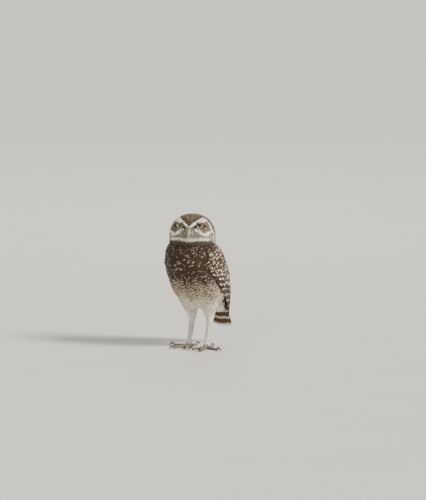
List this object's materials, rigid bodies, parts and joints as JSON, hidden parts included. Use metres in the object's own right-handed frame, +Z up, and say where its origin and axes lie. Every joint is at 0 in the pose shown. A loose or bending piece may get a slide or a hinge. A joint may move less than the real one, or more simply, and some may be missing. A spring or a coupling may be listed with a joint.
{
  "type": "burrowing owl, standing",
  "caption": "Life-size still model of a burrowing owl standing upright on its own feet, head turned to its left, wings and tail folded.",
  "frame": {"origin": "on the floor under the middle of the owl's outline", "axes": "+Z up, -Y the way the breast and the feet face, +X to the owl's left"},
  "size_m": [0.0952, 0.114, 0.195],
  "materials": {
    "head_feathers": "fine soft feathers, brown with buff-white streaks, white brows and chin",
    "body_feathers": "soft overlapping feathers, brown with buff-white spots and bars, pale belly",
    "wing_feathers": "firm flat feathers, brown with buff-white spots and bars",
    "leg_feathers": "short hair-like whitish feathers",
    "toe_skin": "matt grey-brown scaly skin with sparse bristles",
    "claw_horn": "smooth dark horn",
    "bill_horn": "smooth pale greenish horn",
    "eyes": "wet clear cornea over a yellow iris and a black pupil"
  },
  "bodies": {
    "root": {"head": "head_feathers", "neck": "body_feathers", "trunk": "body_feathers", "wing_left": "wing_feathers", "wing_right": "wing_feathers", "tail": "wing_feathers", "thigh_left": "leg_feathers", "thigh_right": "leg_feathers", "tarsus_left": "leg_feathers", "tarsus_right": "leg_feathers", "foot_left": "toe_skin", "foot_right": "toe_skin", "toe_left_inner": "toe_skin", "toe_left_middle": "toe_skin", "toe_left_outer": "toe_skin", "toe_left_hind": "toe_skin", "toe_right_inner": "toe_skin", "toe_right_middle": "toe_skin", "toe_right_outer": "toe_skin", "toe_right_hind": "toe_skin", "claw_left_inner": "claw_horn", "claw_left_middle": "claw_horn", "claw_left_outer": "claw_horn", "claw_left_hind": "claw_horn", "claw_right_inner": "claw_horn", "claw_right_middle": "claw_horn", "claw_right_outer": "claw_horn", "claw_right_hind": "claw_horn", "eye_left": "eyes", "eye_right": "eyes", "bill_upper": "bill_horn", "bill_lower": "bill_horn"}
  },
  "joints": []
}
